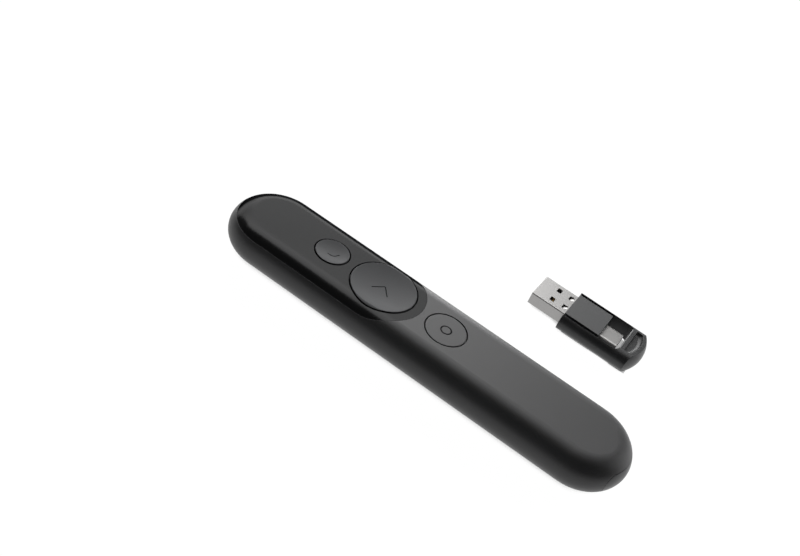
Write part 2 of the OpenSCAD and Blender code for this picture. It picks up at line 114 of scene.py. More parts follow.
class ClickerColours(bpy.types.PropertyGroup):
    """Colours of the visible finishes."""

    paint: bpy.props.FloatVectorProperty(
        name="Housing paint", description="Soft-touch paint of the housing and the pointer key",
        subtype="COLOR", size=4, min=0, max=1, default=linear("424243"))
    panel: bpy.props.FloatVectorProperty(
        name="Head panel", description="Moulded polycarbonate round the dished keys",
        subtype="COLOR", size=4, min=0, max=1, default=linear("1c1d1e"))
    key: bpy.props.FloatVectorProperty(
        name="Dished keys", description="Satin moulded plastic of the next and back keys",
        subtype="COLOR", size=4, min=0, max=1, default=linear("3a3b3d"))
    cap: bpy.props.FloatVectorProperty(
        name="Receiver cap", description="Satin polycarbonate of the receiver's flip cap",
        subtype="COLOR", size=4, min=0, max=1, default=linear("323334"))
    core: bpy.props.FloatVectorProperty(
        name="Receiver core", description="Matt moulded plastic between the two plugs",
        subtype="COLOR", size=4, min=0, max=1, default=linear("404142"))
    plug: bpy.props.FloatVectorProperty(
        name="Plug metal", description="Nickel-plated steel of both plugs",
        subtype="COLOR", size=4, min=0, max=1, default=linear("a09f9e"))
    ink: bpy.props.FloatVectorProperty(
        name="Printed marks", description="Ink of the chevrons and of the ring",
        subtype="COLOR", size=4, min=0, max=1, default=linear("0c0d0e"))


class ClickerSizes(bpy.types.PropertyGroup):
    """Sizes of the printed marks and of the screws."""

    stroke: bpy.props.FloatProperty(
        name="Stroke", description="Width of the chevrons' lines",
        unit="LENGTH", default=0.34 * MM, min=0.1 * MM, max=1 * MM, precision=5)
    next_chevron: bpy.props.FloatProperty(
        name="Next chevron", description="Half width of the chevron on the large key",
        unit="LENGTH", default=2.85 * MM, min=1 * MM, max=4 * MM, precision=5)
    back_chevron: bpy.props.FloatProperty(
        name="Back chevron", description="Half width of the chevron on the small key",
        unit="LENGTH", default=1.85 * MM, min=0.5 * MM, max=2.5 * MM, precision=5)
    ring: bpy.props.FloatProperty(
        name="Ring", description="Radius of the ring on the pointer key",
        unit="LENGTH", default=1.63 * MM, min=0.8 * MM, max=3 * MM, precision=5)
    ring_stroke: bpy.props.FloatProperty(
        name="Ring stroke", description="Width of the ring's line",
        unit="LENGTH", default=0.45 * MM, min=0.1 * MM, max=1 * MM, precision=5)
    film: bpy.props.FloatProperty(
        name="Ink film", description="Thickness of the printed marks",
        unit="LENGTH", default=0.015 * MM, min=0.005 * MM, max=0.05 * MM, precision=6)
    pitch: bpy.props.FloatProperty(
        name="Thread pitch", description="Pitch of the screws' threads",
        unit="LENGTH", default=0.6 * MM, min=0.3 * MM, max=1 * MM, precision=5)
    thread: bpy.props.FloatProperty(
        name="Thread depth", description="From the crest of the screws' threads down to the root",
        unit="LENGTH", default=0.13 * MM, min=0.05 * MM, max=0.3 * MM, precision=5)


class ClickerStage(bpy.types.PropertyGroup):
    """Camera and studio. The white floor has a radiance of 1."""

    heading: bpy.props.FloatProperty(
        name="Heading", description="Turn of the camera from the clicker's +Y, seen from above",
        subtype="ANGLE", default=math.radians(16.305))
    tilt: bpy.props.FloatProperty(
        name="Tilt", description="How far the camera looks down",
        subtype="ANGLE", default=math.radians(39.085))
    roll: bpy.props.FloatProperty(
        name="Roll", description="Turn of the camera about its own axis",
        subtype="ANGLE", default=math.radians(23.895))
    aim: bpy.props.FloatVectorProperty(
        name="Aim", description="Point at the middle of the view",
        subtype="TRANSLATION", size=3, default=(-18.39 * MM, 15.34 * MM, 6.5 * MM))
    distance: bpy.props.FloatProperty(
        name="Distance", description="From the camera to the point it aims at",
        unit="LENGTH", default=362.05 * MM)
    lens: bpy.props.FloatProperty(
        name="Lens", description="Focal length on a 36 mm sensor, in millimetres",
        unit="CAMERA", default=52.80)
    key: bpy.props.FloatProperty(
        name="Key", description="Radiance of the large lamp behind the clicker",
        default=5.5, min=0, max=20)
    scrim: bpy.props.FloatProperty(
        name="Scrim", description="Radiance of the upper part of the cloth that the gloss mirrors",
        default=2.5, min=0, max=20)
    scrim_foot: bpy.props.FloatProperty(
        name="Scrim's foot", description="Radiance added at the foot of the cloth, where its lamps stand",
        default=5.0, min=0, max=50)
    card: bpy.props.FloatProperty(
        name="Card", description="Radiance of the card that lights up the tail's end",
        default=1.2, min=0, max=20)
    tent: bpy.props.FloatProperty(
        name="Tent", description="Radiance of the black felt all round",
        default=0.1, min=0, max=1)


# ---------- finishes ----------

def begin(name, constants=None):
    """Starts a material: (material, tree, Principled shader with its constants, object coordinates in mm)."""
    material = bpy.data.materials.new(name)
    material.use_nodes = True
    tree = material.node_tree
    tree.nodes.clear()
    shader = add_node(tree, "ShaderNodeBsdfPrincipled", constants)
    add_node(tree, "ShaderNodeOutputMaterial", {"Surface": shader.outputs["BSDF"]})
    place = add_node(tree, "ShaderNodeTexCoord")
    in_mm = add_node(tree, "ShaderNodeVectorMath", {0: place.outputs["Object"], "Scale": 1 / MM},
                     operation="SCALE")
    return material, tree, shader, in_mm.outputs["Vector"]


def uneven_gloss(tree, shader, mm, size, low, high, detail=2.0):
    """Lets the roughness wander from low to high in soft patches of this size in mm. Returns the patches."""
    patches = add_node(tree, "ShaderNodeTexNoise", {"Vector": mm, "Scale": 1 / size, "Detail": detail})
    sheen = add_node(tree, "ShaderNodeMapRange", {"Value": patches.outputs["Fac"],
                                                  "To Min": low, "To Max": high})
    tree.links.new(sheen.outputs["Result"], shader.inputs["Roughness"])
    return patches.outputs["Fac"]


def surface_normal(tree, shader, edge=0.0, relief=None, strength=0.0, depth=0.0):
    """Shades sharp edges as rounded to a radius, and a pattern as relief of a depth, both in mm."""
    normal = None
    if edge:
        normal = add_node(tree, "ShaderNodeBevel", {"Radius": edge * MM}, samples=4).outputs["Normal"]
    if relief:
        bump = add_node(tree, "ShaderNodeBump", {"Strength": strength, "Distance": depth * MM,
                                                 "Height": relief})
        if normal:
            tree.links.new(normal, bump.inputs["Normal"])
        normal = bump.outputs["Normal"]
    tree.links.new(normal, shader.inputs["Normal"])


def soft_touch_paint(colours):
    """Soft-touch polyurethane paint sprayed on ABS: an uneven satin skin that blurs what it mirrors."""
    material, tree, shader, mm = begin("soft_touch_paint", {"IOR": 1.45})
    film = uneven_gloss(tree, shader, mm, size=7, low=0.40, high=0.46, detail=3.0)
    mottle = add_node(tree, "ShaderNodeMix", {0: film, 6: scaled(colours.paint, 0.94),
                                              7: scaled(colours.paint, 1.06)}, data_type="RGBA")
    tree.links.new(mottle.outputs[2], shader.inputs["Base Color"])
    # the paint's grain is 0.1 mm, drawn at 0.35 mm so that it shows
    grain = add_node(tree, "ShaderNodeTexNoise", {"Vector": mm, "Scale": 1 / 0.35, "Detail": 2.0})
    surface_normal(tree, shader, edge=0.12, relief=grain.outputs["Fac"], strength=0.25, depth=0.004)
    return material


def head_polycarbonate(colours):
    """Moulded black polycarbonate, semi-gloss from its tool: darker than the paint, with tighter gloss."""
    material, tree, shader, mm = begin("head_polycarbonate", {"Base Color": colours.panel})
    # the tool's fine lines shadow each other, so the gloss fades as the surface turns away
    edge_on = add_node(tree, "ShaderNodeLayerWeight", {"Blend": 0.5})
    gloss = add_node(tree, "ShaderNodeValToRGB", {"Fac": edge_on.outputs["Facing"]})
    steps = gloss.color_ramp.elements
    for place, level in ((0.37, 0.125), (0.46, 0.12)):
        steps.new(place).color = (level, level, level, 1)
    for step, place, level in ((steps[0], 0.24, 0.31), (steps[-1], 0.57, 0.0)):
        step.position = place
        step.color = (level, level, level, 1)
    tree.links.new(gloss.outputs["Color"], shader.inputs["Specular IOR Level"])
    uneven_gloss(tree, shader, mm, size=11, low=0.20, high=0.24)
    surface_normal(tree, shader, edge=0.12)
    return material


def satin_key_plastic(colours):
    """Satin moulded ABS of the dished keys, worn unevenly by thumbs."""
    material, tree, shader, mm = begin("satin_key_plastic", {"Base Color": colours.key})
    # thumbs dull the keys' sharp edges, which are seen edge-on
    edge_on = add_node(tree, "ShaderNodeLayerWeight", {"Blend": 0.5})
    gloss = add_node(tree, "ShaderNodeMapRange", {"Value": edge_on.outputs["Facing"], "From Min": 0.44,
                                                  "From Max": 0.56, "To Min": 0.25, "To Max": 0.0})
    tree.links.new(gloss.outputs["Result"], shader.inputs["Specular IOR Level"])
    uneven_gloss(tree, shader, mm, size=5, low=0.46, high=0.54, detail=3.0)
    surface_normal(tree, shader, edge=0.1)
    return material


def cover_abs(colours):
    """Matt ABS of the bottom cover, with a spark-eroded texture."""
    material, tree, shader, mm = begin("cover_abs", {"Base Color": scaled(colours.paint, 0.8),
                                                     "Roughness": 0.58})
    # erosion pits are 0.15 mm, drawn at 0.4 mm so that they show
    pits = add_node(tree, "ShaderNodeTexNoise", {"Vector": mm, "Scale": 1 / 0.4, "Detail": 3.0})
    surface_normal(tree, shader, relief=pits.outputs["Fac"], strength=0.6, depth=0.02)
    return material


def cap_polycarbonate(colours):
    """Satin black polycarbonate of the flip cap, with the faint greasy patches that handling leaves."""
    material, tree, shader, mm = begin("cap_polycarbonate", {"Base Color": colours.cap, "IOR": 1.5})
    smudge = add_node(tree, "ShaderNodeTexNoise", {"Vector": mm, "Scale": 1 / 6, "Detail": 4.0})
    sheen = add_node(tree, "ShaderNodeMapRange", {"Value": smudge.outputs["Fac"], "From Min": 0.4,
                                                  "From Max": 0.7, "To Min": 0.34, "To Max": 0.42})
    tree.links.new(sheen.outputs["Result"], shader.inputs["Roughness"])
    surface_normal(tree, shader, edge=0.15)
    return material


def core_plastic(colours):
    """Fine matt moulded plastic of the receiver's core."""
    material, tree, shader, mm = begin("core_plastic", {"Base Color": colours.core, "Roughness": 0.5})
    grain = add_node(tree, "ShaderNodeTexNoise", {"Vector": mm, "Scale": 1 / 0.3, "Detail": 2.0})
    surface_normal(tree, shader, edge=0.1, relief=grain.outputs["Fac"], strength=0.3, depth=0.006)
    return material


def plug_steel(colours):
    """Nickel-plated strip steel, stamped and folded: rolling lines run along the plug."""
    material, tree, shader, mm = begin("plug_steel", {"Base Color": colours.plug, "Metallic": 1.0})
    along = add_node(tree, "ShaderNodeMapping", {"Vector": mm, "Scale": (0.15, 6.0, 6.0)})
    lines = uneven_gloss(tree, shader, along.outputs["Vector"], size=1, low=0.30, high=0.44, detail=3.0)
    surface_normal(tree, shader, edge=0.12, relief=lines, strength=0.15, depth=0.004)
    return material


def zinc_steel(colours):
    """Zinc-plated steel of screws, domes, pins and cans: bright, a little cloudy."""
    material, tree, shader, mm = begin("zinc_steel", {"Base Color": linear("b4b7bb"), "Metallic": 1.0})
    uneven_gloss(tree, shader, mm, size=0.8, low=0.24, high=0.42, detail=3.0)
    return material


def liquid_crystal_polymer(colours):
    """Black liquid-crystal polymer of the connectors' insulators, with short flow lines."""
    material, tree, shader, mm = begin("liquid_crystal_polymer", {"Base Color": linear("141415")})
    uneven_gloss(tree, shader, mm, size=0.6, low=0.4, high=0.55)
    return material


def gold_flash(colours):
    """Gold flash over nickel on the contacts."""
    material, tree, shader, mm = begin("gold_flash", {"Base Color": linear("dcb266"), "Metallic": 1.0})
    uneven_gloss(tree, shader, mm, size=0.5, low=0.18, high=0.3)
    return material


def solder_mask(colours):
    """Green solder mask over glass laminate, with copper tracks showing through as lighter lines."""
    material, tree, shader, mm = begin("solder_mask", {"Roughness": 0.32})
    tracks = add_node(tree, "ShaderNodeTexBrick", {
        "Vector": mm, "Color1": linear("1f5a39"), "Color2": linear("1b5033"), "Mortar": linear("2f7a4e"),
        "Scale": 1.0, "Mortar Size": 0.08, "Brick Width": 2.6, "Row Height": 0.9})
    tree.links.new(tracks.outputs["Color"], shader.inputs["Base Color"])
    return material


def epoxy_compound(colours):
    """Black moulding compound of the chips, matt and slightly speckled."""
    material, tree, shader, mm = begin("epoxy_compound", {"Roughness": 0.6})
    speck = add_node(tree, "ShaderNodeTexNoise", {"Vector": mm, "Scale": 1 / 0.2, "Detail": 2.0})
    tone = add_node(tree, "ShaderNodeMix", {0: speck.outputs["Fac"], 6: linear("141416"),
                                            7: linear("202023")}, data_type="RGBA")
    tree.links.new(tone.outputs[2], shader.inputs["Base Color"])
    return material


def pouch_foil(colours):
    """Aluminium laminate of the pouch cell, with an embossed cross-hatch."""
    material, tree, shader, mm = begin("pouch_foil", {"Base Color": linear("b9bcc2"), "Metallic": 0.9,
                                                      "Roughness": 0.35})
    hatch = add_node(tree, "ShaderNodeTexChecker", {"Vector": mm, "Scale": 1 / 0.6})
    surface_normal(tree, shader, relief=hatch.outputs["Fac"], strength=0.3, depth=0.02)
    return material


def silicone_sleeve(colours):
    """Silicone insulation of the cell's leads: red on the +Y side, black on the other."""
    material, tree, shader, mm = begin("silicone_sleeve", {"Roughness": 0.5})
    side = add_node(tree, "ShaderNodeSeparateXYZ", {"Vector": mm})
    positive = add_node(tree, "ShaderNodeMath", {0: side.outputs["Y"], 1: 0.0}, operation="GREATER_THAN")
    tone = add_node(tree, "ShaderNodeMix", {0: positive.outputs["Value"], 6: linear("17181a"),
                                            7: linear("9c2321")}, data_type="RGBA")
    tree.links.new(tone.outputs[2], shader.inputs["Base Color"])
    return material


def turned_brass(colours):
    """Turned brass of the laser module's barrel, with the lathe's fine rings round its axis."""
    material, tree, shader, mm = begin("turned_brass", {"Base Color": linear("c79a4a"), "Metallic": 1.0})
    rings = add_node(tree, "ShaderNodeTexWave", {"Vector": mm, "Scale": 2.0, "Distortion": 0.4},
                     wave_type="BANDS", bands_direction="X")
    sheen = add_node(tree, "ShaderNodeMapRange", {"Value": rings.outputs["Fac"],
                                                  "To Min": 0.22, "To Max": 0.36})
    tree.links.new(sheen.outputs["Result"], shader.inputs["Roughness"])
    return material


def lens_glass(colours):
    """Polished glass of the laser's lens, with a slightly uneven coating."""
    material, tree, shader, mm = begin("lens_glass", {"Base Color": linear("e6f1f4"),
                                                      "Transmission Weight": 1.0, "IOR": 1.52})
    uneven_gloss(tree, shader, mm, size=1.5, low=0.01, high=0.04)
    return material


def tinted_polycarbonate(colours):
    """Dark red polycarbonate that the laser shines through."""
    material, tree, shader, mm = begin("tinted_polycarbonate", {"Base Color": linear("3d0a0e"),
                                                                "Transmission Weight": 0.5, "IOR": 1.58})
    uneven_gloss(tree, shader, mm, size=1.2, low=0.05, high=0.1)
    return material


def natural_nylon(colours):
    """Natural nylon of the switch plungers: milky, slightly waxy."""
    material, tree, shader, mm = begin("natural_nylon", {"Roughness": 0.45})
    wax = add_node(tree, "ShaderNodeTexNoise", {"Vector": mm, "Scale": 1 / 0.7})
    tone = add_node(tree, "ShaderNodeMix", {0: wax.outputs["Fac"], 6: linear("ddd9cd"),
                                            7: linear("e8e5da")}, data_type="RGBA")
    tree.links.new(tone.outputs[2], shader.inputs["Base Color"])
    return material


def glass_filled_nylon(colours):
    """Black glass-filled nylon of the inner frame and the dock: fibres show as short pale flecks."""
    material, tree, shader, mm = begin("glass_filled_nylon", {"Roughness": 0.52})
    stretched = add_node(tree, "ShaderNodeMapping", {"Vector": mm, "Scale": (1.0, 5.0, 5.0)})
    fibres = add_node(tree, "ShaderNodeTexNoise", {"Vector": stretched.outputs["Vector"], "Scale": 1.4,
                                                   "Detail": 2.0})
    tone = add_node(tree, "ShaderNodeValToRGB", {"Fac": fibres.outputs["Fac"]})
    for step, place, colour in zip(tone.color_ramp.elements, (0.55, 0.75), ("151617", "2c2d2f")):
        step.position = place
        step.color = linear(colour)
    tree.links.new(tone.outputs["Color"], shader.inputs["Base Color"])
    return material


def bright_nickel(colours):
    """Bright nickel plating of the magnet, a little scuffed."""
    material, tree, shader, mm = begin("bright_nickel", {"Base Color": linear("c9c6bf"), "Metallic": 1.0})
    uneven_gloss(tree, shader, mm, size=0.9, low=0.08, high=0.2, detail=3.0)
    return material


def pad_ink(colours):
    """Pad-printed ink of the marks: matt, and not quite evenly dense."""
    material, tree, shader, mm = begin("pad_ink", {"Roughness": 0.7, "Specular IOR Level": 0.05})
    density = add_node(tree, "ShaderNodeTexNoise", {"Vector": mm, "Scale": 1 / 0.4})
    tone = add_node(tree, "ShaderNodeMix", {0: density.outputs["Fac"], 6: scaled(colours.ink, 0.8),
                                            7: scaled(colours.ink, 1.3)}, data_type="RGBA")
    tree.links.new(tone.outputs[2], shader.inputs["Base Color"])
    return material


# the record's material slots, and the finish that each one gets
FINISHES = {
    "housing_plastic": soft_touch_paint,
    "panel_plastic": head_polycarbonate,
    "cover_plastic": cover_abs,
    "button_plastic": satin_key_plastic,
    "pointer_plastic": soft_touch_paint,
    "frame_plastic": glass_filled_nylon,
    "steel": zinc_steel,
    "board_laminate": solder_mask,
    "chip_epoxy": epoxy_compound,
    "pouch_foil": pouch_foil,
    "wire_insulation": silicone_sleeve,
    "insulator_plastic": liquid_crystal_polymer,
    "brass": turned_brass,
    "lens_glass": lens_glass,
    "gold_contacts": gold_flash,
    "window_plastic": tinted_polycarbonate,
    "plunger_plastic": natural_nylon,
    "magnet_nickel": bright_nickel,
    "plug_steel": plug_steel,
    "core_plastic": core_plastic,
    "cap_plastic": cap_polycarbonate,
}


class CLICKER_OT_finishes(bpy.types.Operator):
    """Give every CAD node the finish of its material slot"""

    bl_idname = "clicker.finishes"
    bl_label = "Finishes"

    def execute(self, context):
        colours = context.scene.clicker_colours
        made = {}
        for part in frame["record"]["subparts"]:
            finish = FINISHES[part["material_slot"]]
            if finish not in made:
                made[finish] = finish(colours)
            mesh = frame["nodes"][part["node"]].data
            mesh.materials.clear()
            mesh.materials.append(made[finish])
        return {"FINISHED"}


# ---------- marks, domes and screws ----------

def new_tree(name, sockets):
    """A Geometry Nodes tree with geometry in and out and the named inputs: (tree, input node)."""
    tree = bpy.data.node_groups.new(name, "GeometryNodeTree")
    tree.interface.new_socket(name="Geometry", in_out="INPUT", socket_type="NodeSocketGeometry")
    for label, kind in sockets.items():
        tree.interface.new_socket(name=label, in_out="INPUT", socket_type="NodeSocket" + kind)
    tree.interface.new_socket(name="Geometry", in_out="OUTPUT", socket_type="NodeSocketGeometry")
    return tree, add_node(tree, "NodeGroupInput")


def grow(name, tree, base, inputs):
    """Runs the tree on the base mesh and returns the result as a plain mesh object at the origin."""
    seed = bpy.data.objects.new(name + "_seed", base)
    bpy.context.collection.objects.link(seed)
    modifier = seed.modifiers.new(name, "NODES")
    modifier.node_group = tree
    for item in tree.interface.items_tree:
        if item.in_out == "INPUT" and item.name in inputs:
            modifier[item.identifier] = inputs[item.name]
    seed.update_tag()
    bpy.context.view_layer.update()
    mesh = bpy.data.meshes.new_from_object(seed.evaluated_get(bpy.context.evaluated_depsgraph_get()))
    bpy.data.objects.remove(seed)
    shape = bmesh.new()
    shape.from_mesh(mesh)
    bmesh.ops.recalc_face_normals(shape, faces=shape.faces)
    shape.to_mesh(mesh)
    shape.free()
    if not mesh.polygons:
        raise RuntimeError(name + " came out empty")
    mesh.name = name
    piece = bpy.data.objects.new(name, mesh)
    bpy.context.collection.objects.link(piece)
    return piece


def mark_outline(tree, value):
    """The middle line of a mark at the origin: a chevron whose apex is rounded, or a ring."""
    # three points along X, the outer two lower by the rise
    start = add_node(tree, "ShaderNodeVectorMath", {0: (-1.0, 0.0, 0.0), "Scale": value["Half width"]},
                     operation="SCALE")
    step = add_node(tree, "ShaderNodeVectorMath", {0: (1.0, 0.0, 0.0), "Scale": value["Half width"]},
                    operation="SCALE")
    points = add_node(tree, "GeometryNodeMeshLine", {"Count": 3, "Start Location": start.outputs["Vector"],
                                                     "Offset": step.outputs["Vector"]})
    index = add_node(tree, "GeometryNodeInputIndex")
    off_middle = add_node(tree, "ShaderNodeMath", {0: index.outputs["Index"], 1: 1.0}, operation="SUBTRACT")
    outer = add_node(tree, "ShaderNodeMath", {0: off_middle.outputs["Value"]}, operation="ABSOLUTE")
    drop = add_node(tree, "ShaderNodeMath", {0: outer.outputs["Value"], 1: value["Rise"]},
                    operation="MULTIPLY")
    sunk = add_node(tree, "ShaderNodeVectorMath", {0: (0.0, -1.0, 0.0), "Scale": drop.outputs["Value"]},
                    operation="SCALE")
    bent = add_node(tree, "GeometryNodeSetPosition", {"Geometry": points.outputs["Mesh"],
                                                      "Offset": sunk.outputs["Vector"]})
    line = add_node(tree, "GeometryNodeMeshToCurve", {"Mesh": bent.outputs["Geometry"]})
    soft = add_node(tree, "GeometryNodeFilletCurve", {"Curve": line.outputs["Curve"], "Count": 4,
                                                      "Radius": value["Round"]}, mode="POLY")
    circle = add_node(tree, "GeometryNodeCurvePrimitiveCircle", {"Resolution": 96,
                                                                 "Radius": value["Half width"]})
    chosen = add_node(tree, "GeometryNodeSwitch", {
        "Switch": value["Is ring"], "False": soft.outputs["Curve"], "True": circle.outputs["Curve"]},
        input_type="GEOMETRY")
    return chosen.outputs["Output"]


def mark_tree():
    """A chevron or a ring, drawn as a strip over the key and dropped onto its top as a thin film."""
    tree, given = new_tree("printed_mark", {
        "Half width": "Float", "Rise": "Float", "Round": "Float", "Apex": "Vector", "Turn": "Rotation",
        "Is ring": "Bool", "Stroke": "Float", "Film": "Float", "Key": "Object", "Ink": "Material"})
    value = given.outputs
    # points every 0.12 mm, so that the strip follows the dish
    even = add_node(tree, "GeometryNodeResampleCurve", {"Curve": mark_outline(tree, value),
                                                        "Length": 0.12 * MM}, mode="LENGTH")
    level = add_node(tree, "GeometryNodeSetCurveNormal", {"Curve": even.outputs["Curve"]}, mode="Z_UP")
    half = add_node(tree, "ShaderNodeMath", {0: value["Stroke"], 1: 0.5}, operation="MULTIPLY")
    right = add_node(tree, "ShaderNodeCombineXYZ", {"X": half.outputs["Value"]})
    left = add_node(tree, "ShaderNodeVectorMath", {0: right.outputs["Vector"], "Scale": -1.0},
                    operation="SCALE")
    width = add_node(tree, "GeometryNodeCurvePrimitiveLine", {"Start": left.outputs["Vector"],
                                                              "End": right.outputs["Vector"]})
    strip = add_node(tree, "GeometryNodeCurveToMesh", {"Curve": level.outputs["Curve"],
                                                       "Profile Curve": width.outputs["Curve"]})
    over = add_node(tree, "GeometryNodeTransform", {"Geometry": strip.outputs["Mesh"],
                                                    "Translation": value["Apex"],
                                                    "Rotation": value["Turn"]})
    key = add_node(tree, "GeometryNodeObjectInfo", {"Object": value["Key"]}, transform_space="RELATIVE")
    found = add_node(tree, "GeometryNodeRaycast", {"Target Geometry": key.outputs["Geometry"],
                                                   "Ray Direction": (0.0, 0.0, -1.0), "Ray Length": ABOVE})
    laid = add_node(tree, "GeometryNodeSetPosition", {"Geometry": over.outputs["Geometry"],
                                                      "Position": found.outputs["Hit Position"]})
    # the strip and its raised copy close up into a film
    raised = add_node(tree, "GeometryNodeExtrudeMesh", {
        "Mesh": laid.outputs["Geometry"], "Offset": (0.0, 0.0, 1.0), "Offset Scale": value["Film"],
        "Individual": False})
    closed = add_node(tree, "GeometryNodeJoinGeometry", {"Geometry": raised.outputs["Mesh"]})
    tree.links.new(laid.outputs["Geometry"], closed.inputs["Geometry"])
    whole = add_node(tree, "GeometryNodeMergeByDistance", {"Geometry": closed.outputs["Geometry"],
                                                           "Distance": 0.001 * MM})
    real = add_node(tree, "GeometryNodeRealizeInstances", {"Geometry": whole.outputs["Geometry"]})
    inked = add_node(tree, "GeometryNodeSetMaterial", {"Geometry": real.outputs["Geometry"],
                                                       "Material": value["Ink"]})
    add_node(tree, "NodeGroupOutput", {"Geometry": inked.outputs["Geometry"]})
    return tree


class CLICKER_OT_marks(bpy.types.Operator):
    """Print the two chevrons and the ring on the keys"""

    bl_idname = "clicker.marks"
    bl_label = "Marks"

    def execute(self, context):
        sizes = context.scene.clicker_sizes
        ink = pad_ink(context.scene.clicker_colours)
        tree = mark_tree()
        # key, its node, its slot, apex of the chevron or centre of the ring in mm, half width, line width,
        # rise in mm (negative: the apex points towards -Y; 0: a ring), apex's round in mm, turn in degrees
        marks = (
            ("next_key", "next_button", "button_plastic", (-17.35, 1.4),
             sizes.next_chevron, sizes.stroke, 3.5, 0.3, 0),
            ("back_key", "back_button", "button_plastic", (-35.05, -1.2),
             sizes.back_chevron, sizes.stroke, -1.15, 1.6, 36),
            ("pointer_key", "pointer_button", "pointer_plastic", (5.3, 0.0),
             sizes.ring, sizes.ring_stroke, 0, 0, 0),
        )
        for body, node, slot, (x, y), half_width, stroke, rise, curve, turn in marks:
            mark = grow(body + "_mark", tree, bpy.data.meshes.new("start"), {
                "Half width": half_width, "Rise": rise * MM, "Round": curve * MM,
                "Apex": (x * MM, y * MM, ABOVE), "Turn": (0.0, 0.0, math.radians(turn)),
                "Is ring": rise == 0, "Stroke": stroke, "Film": sizes.film,
                "Key": frame["nodes"][node], "Ink": ink})
            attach(mark, body)
        return {"FINISHED"}


def join_rings(shape, rings):
    """Makes the faces between each ring of points and the next. A ring on the axis is one point, repeated."""
    for low, high in zip(rings, rings[1:]):
        for i in range(len(low)):
            j = (i + 1) % len(low)
            corners = dict.fromkeys((low[i], low[j], high[j], high[i]))
            shape.faces.new(tuple(corners))


def screw_mesh(sizes, length, head_r=1.45, head_h=0.6, shaft_r=0.75, tip=0.4, sides=24):
    """A pan-head screw that stands on its head, with a cross recess and a rolled thread. Sizes in mm."""
    pitch, depth = sizes.pitch / MM, sizes.thread / MM
    shape = bmesh.new()

    def ring(z, radius):
        turns = [i / sides for i in range(sides)]
        return [shape.verts.new((radius(t) * math.cos(2 * math.pi * t),
                                 radius(t) * math.sin(2 * math.pi * t), z)) for t in turns]

    # the head's rounded rim, then the root of the thread under it
    rings = [ring(z, lambda t, r=r: r) for r, z in (
        (head_r - 0.22, 0.0), (head_r - 0.08, 0.05), (head_r, 0.2), (head_r, head_h),
        (shaft_r - depth, head_h))]
    # a ring every 0.1 mm: crest where height and turn agree; the thread runs out near the head
    steps = round((length - head_h) / 0.1)
    for k in range(1, steps + 1):
        z = head_h + (length - head_h) * k / steps
        full = min(1.0, k / 4)

        def thread(t):
            crest = 1 - abs(2 * ((z / pitch - t) % 1) - 1)
            return shaft_r - depth * (1 - full * crest)

        rings.append(ring(z, thread))
    rings.append(ring(length + tip, lambda t: 0.3))
    join_rings(shape, rings)
    shape.faces.new(rings[-1])
    # the recess: a cross that narrows as it goes in, as depth, length of the arms and half their width
    levels = []
    for z, arm, web in ((0.0, 0.85, 0.17), (0.36, 0.45, 0.1)):
        corners = [(arm, -web), (arm, web), (web, web), (web, arm), (-web, arm), (-web, web),
                   (-arm, web), (-arm, -web), (-web, -web), (-web, -arm), (web, -arm), (web, -web)]
        levels.append([shape.verts.new((x, y, z)) for x, y in corners])
    mouth, bottom = levels
    for i in range(len(mouth)):
        j = (i + 1) % len(mouth)
        shape.faces.new((mouth[i], mouth[j], bottom[j], bottom[i]))
    shape.faces.new(bottom)
    border = [shape.edges.get((loop[i], loop[(i + 1) % len(loop)])) for loop in (rings[0], mouth)
              for i in range(len(loop))]
    bmesh.ops.triangle_fill(shape, edges=border, use_beauty=True, normal=(0, 0, -1))
    bmesh.ops.scale(shape, vec=(MM, MM, MM), verts=shape.verts)
    bmesh.ops.recalc_face_normals(shape, faces=shape.faces)
    mesh = bpy.data.meshes.new("screw")
    shape.to_mesh(mesh)
    shape.free()
    return mesh


def dome_mesh(low, high, sphere_r=1.7, sheet=0.08, dimple_r=0.3, dimple_h=0.03, sides=32, steps=8):
    """A pressed steel snap dome with a dimple in its crown, between the corners of its box. Sizes in mm."""
    middle, top, bottom = (low + high) / 2, high.z / MM, low.z / MM
    edge = math.asin((high.x - low.x) / 2 / MM / sphere_r)
    angles = [edge * i / steps for i in range(steps + 1)]

    def level(radius, angle):
        dimple = dimple_h * max(0.0, 1 - (radius * math.sin(angle) / dimple_r) ** 2)
        return max(bottom, top - sphere_r + radius * math.cos(angle) - dimple)

    section = [(sphere_r, a) for a in angles] + [(sphere_r - sheet, a) for a in reversed(angles)]
    turns = [2 * math.pi * i / sides for i in range(sides)]
    shape = bmesh.new()
    rings = []
    # the section turned about the dome's axis ring by ring, so that the faces keep their order each run
    for radius, angle in section:
        out = radius * math.sin(angle) * MM
        z = level(radius, angle) * MM
        if out:
            rings.append([shape.verts.new((middle.x + out * math.cos(t), middle.y + out * math.sin(t), z))
                          for t in turns])
        else:
            rings.append([shape.verts.new((middle.x, middle.y, z))] * sides)
    join_rings(shape, rings)
    bmesh.ops.recalc_face_normals(shape, faces=shape.faces)
    mesh = bpy.data.meshes.new("dome")
    shape.to_mesh(mesh)
    shape.free()
    mesh.shade_smooth()
    return mesh


class CLICKER_OT_domes(bpy.types.Operator):
    """Make the three snap domes that sit under the plungers"""

    bl_idname = "clicker.domes"
    bl_label = "Domes"

    def execute(self, context):
        metal = frame["nodes"]["next_dome"].data.materials[0]
        for key in ("back", "next", "pointer"):
            low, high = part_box(key + "_dome")
            mesh = dome_mesh(low, high)
            mesh.name = key + "_snap_dome"
            mesh.materials.append(metal)
            dome = bpy.data.objects.new(mesh.name, mesh)
            context.collection.objects.link(dome)
            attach(dome, "clicker")
            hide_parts(key + "_dome")
            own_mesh(dome)
        return {"FINISHED"}


